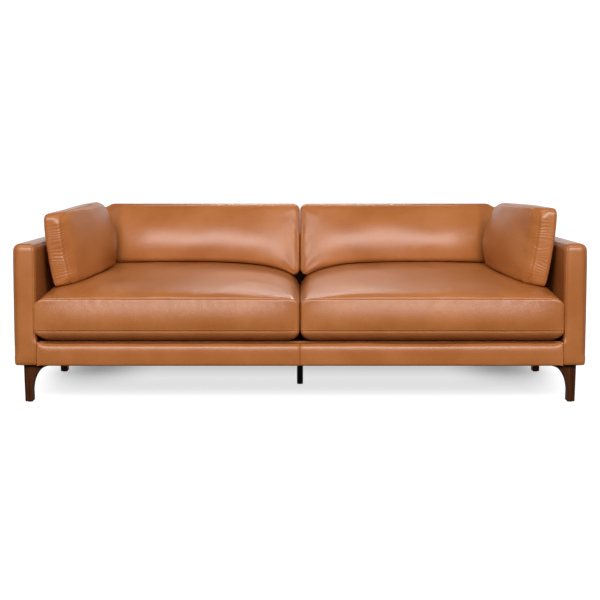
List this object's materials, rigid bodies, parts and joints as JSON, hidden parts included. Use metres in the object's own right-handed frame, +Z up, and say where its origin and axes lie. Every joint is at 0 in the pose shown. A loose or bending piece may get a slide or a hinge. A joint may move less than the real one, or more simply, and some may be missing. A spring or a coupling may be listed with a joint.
{
  "type": "sofa",
  "caption": "Leather family sofa with slim padded arms, loose seat, back and side cushions, wooden bracket legs and a metal centre support leg.",
  "frame": {"origin": "on the floor, under the middle of the bounding box", "axes": "+X to the viewer's right along the sofa's length, -Y to the front where one sits down, +Z up"},
  "size_m": [2.3, 0.95, 0.7996],
  "materials": {
    "tan_leather": "satin",
    "walnut": "satin",
    "timber": "matte",
    "hardboard": "matte",
    "spring_steel": "satin",
    "deck_cloth": "matte",
    "dust_cloth": "matte",
    "black_steel": "satin",
    "black_plastic": "matte"
  },
  "bodies": {
    "frame": {"front_rail": "timber", "rear_rail": "timber", "centre_stretcher": "timber", "back_left_post": "timber", "back_centre_post": "timber", "back_right_post": "timber", "back_top_rail": "timber", "left_end_rail": "timber", "left_arm_front_post": "timber", "left_arm_rear_post": "timber", "left_arm_top_rail": "timber", "right_end_rail": "timber", "right_arm_front_post": "timber", "right_arm_rear_post": "timber", "right_arm_top_rail": "timber", "front_left_corner_block": "timber", "rear_left_corner_block": "timber", "front_right_corner_block": "timber", "rear_right_corner_block": "timber", "back_hardboard": "hardboard", "left_arm_hardboard": "hardboard", "right_arm_hardboard": "hardboard", "front_left_leg": "walnut", "rear_left_leg": "walnut", "front_right_leg": "walnut", "rear_right_leg": "walnut", "left_seat_spring_1": "spring_steel", "left_seat_spring_2": "spring_steel", "left_seat_spring_3": "spring_steel", "left_seat_spring_4": "spring_steel", "left_seat_spring_5": "spring_steel", "right_seat_spring_1": "spring_steel", "right_seat_spring_2": "spring_steel", "right_seat_spring_3": "spring_steel", "right_seat_spring_4": "spring_steel", "right_seat_spring_5": "spring_steel", "front_left_hanger_bolt": "spring_steel", "rear_left_hanger_bolt": "spring_steel", "front_right_hanger_bolt": "spring_steel", "rear_right_hanger_bolt": "spring_steel", "seat_deck": "deck_cloth", "dust_cover": "dust_cloth", "centre_leg": "black_steel", "centre_leg_plate": "black_steel", "centre_leg_foot": "black_plastic", "front_left_glide": "black_plastic", "rear_left_glide": "black_plastic", "front_right_glide": "black_plastic", "rear_right_glide": "black_plastic", "back_upholstery": "tan_leather", "front_rail_upholstery": "tan_leather", "left_arm_upholstery": "tan_leather", "right_arm_upholstery": "tan_leather"},
    "left_seat": {"left_seat_cushion": "tan_leather"},
    "left_back": {"left_back_cushion": "tan_leather"},
    "left_side": {"left_arm_cushion": "tan_leather"},
    "right_seat": {"right_seat_cushion": "tan_leather"},
    "right_back": {"right_back_cushion": "tan_leather"},
    "right_side": {"right_arm_cushion": "tan_leather"}
  },
  "joints": [
    {"name": "left_seat_cushion_lift", "type": "slide", "parent": "frame", "child": "left_seat", "axis": [0, 0, 1], "range_m": [0, 0.42]},
    {"name": "left_back_cushion_lift", "type": "slide", "parent": "left_seat", "child": "left_back", "axis": [0, 0, 1], "range_m": [0, 0.34]},
    {"name": "left_arm_cushion_lift", "type": "slide", "parent": "left_seat", "child": "left_side", "axis": [0, 0, 1], "range_m": [0, 0.37]},
    {"name": "right_seat_cushion_lift", "type": "slide", "parent": "frame", "child": "right_seat", "axis": [0, 0, 1], "range_m": [0, 0.42]},
    {"name": "right_back_cushion_lift", "type": "slide", "parent": "right_seat", "child": "right_back", "axis": [0, 0, 1], "range_m": [0, 0.34]},
    {"name": "right_arm_cushion_lift", "type": "slide", "parent": "right_seat", "child": "right_side", "axis": [0, 0, 1], "range_m": [0, 0.37]}
  ]
}
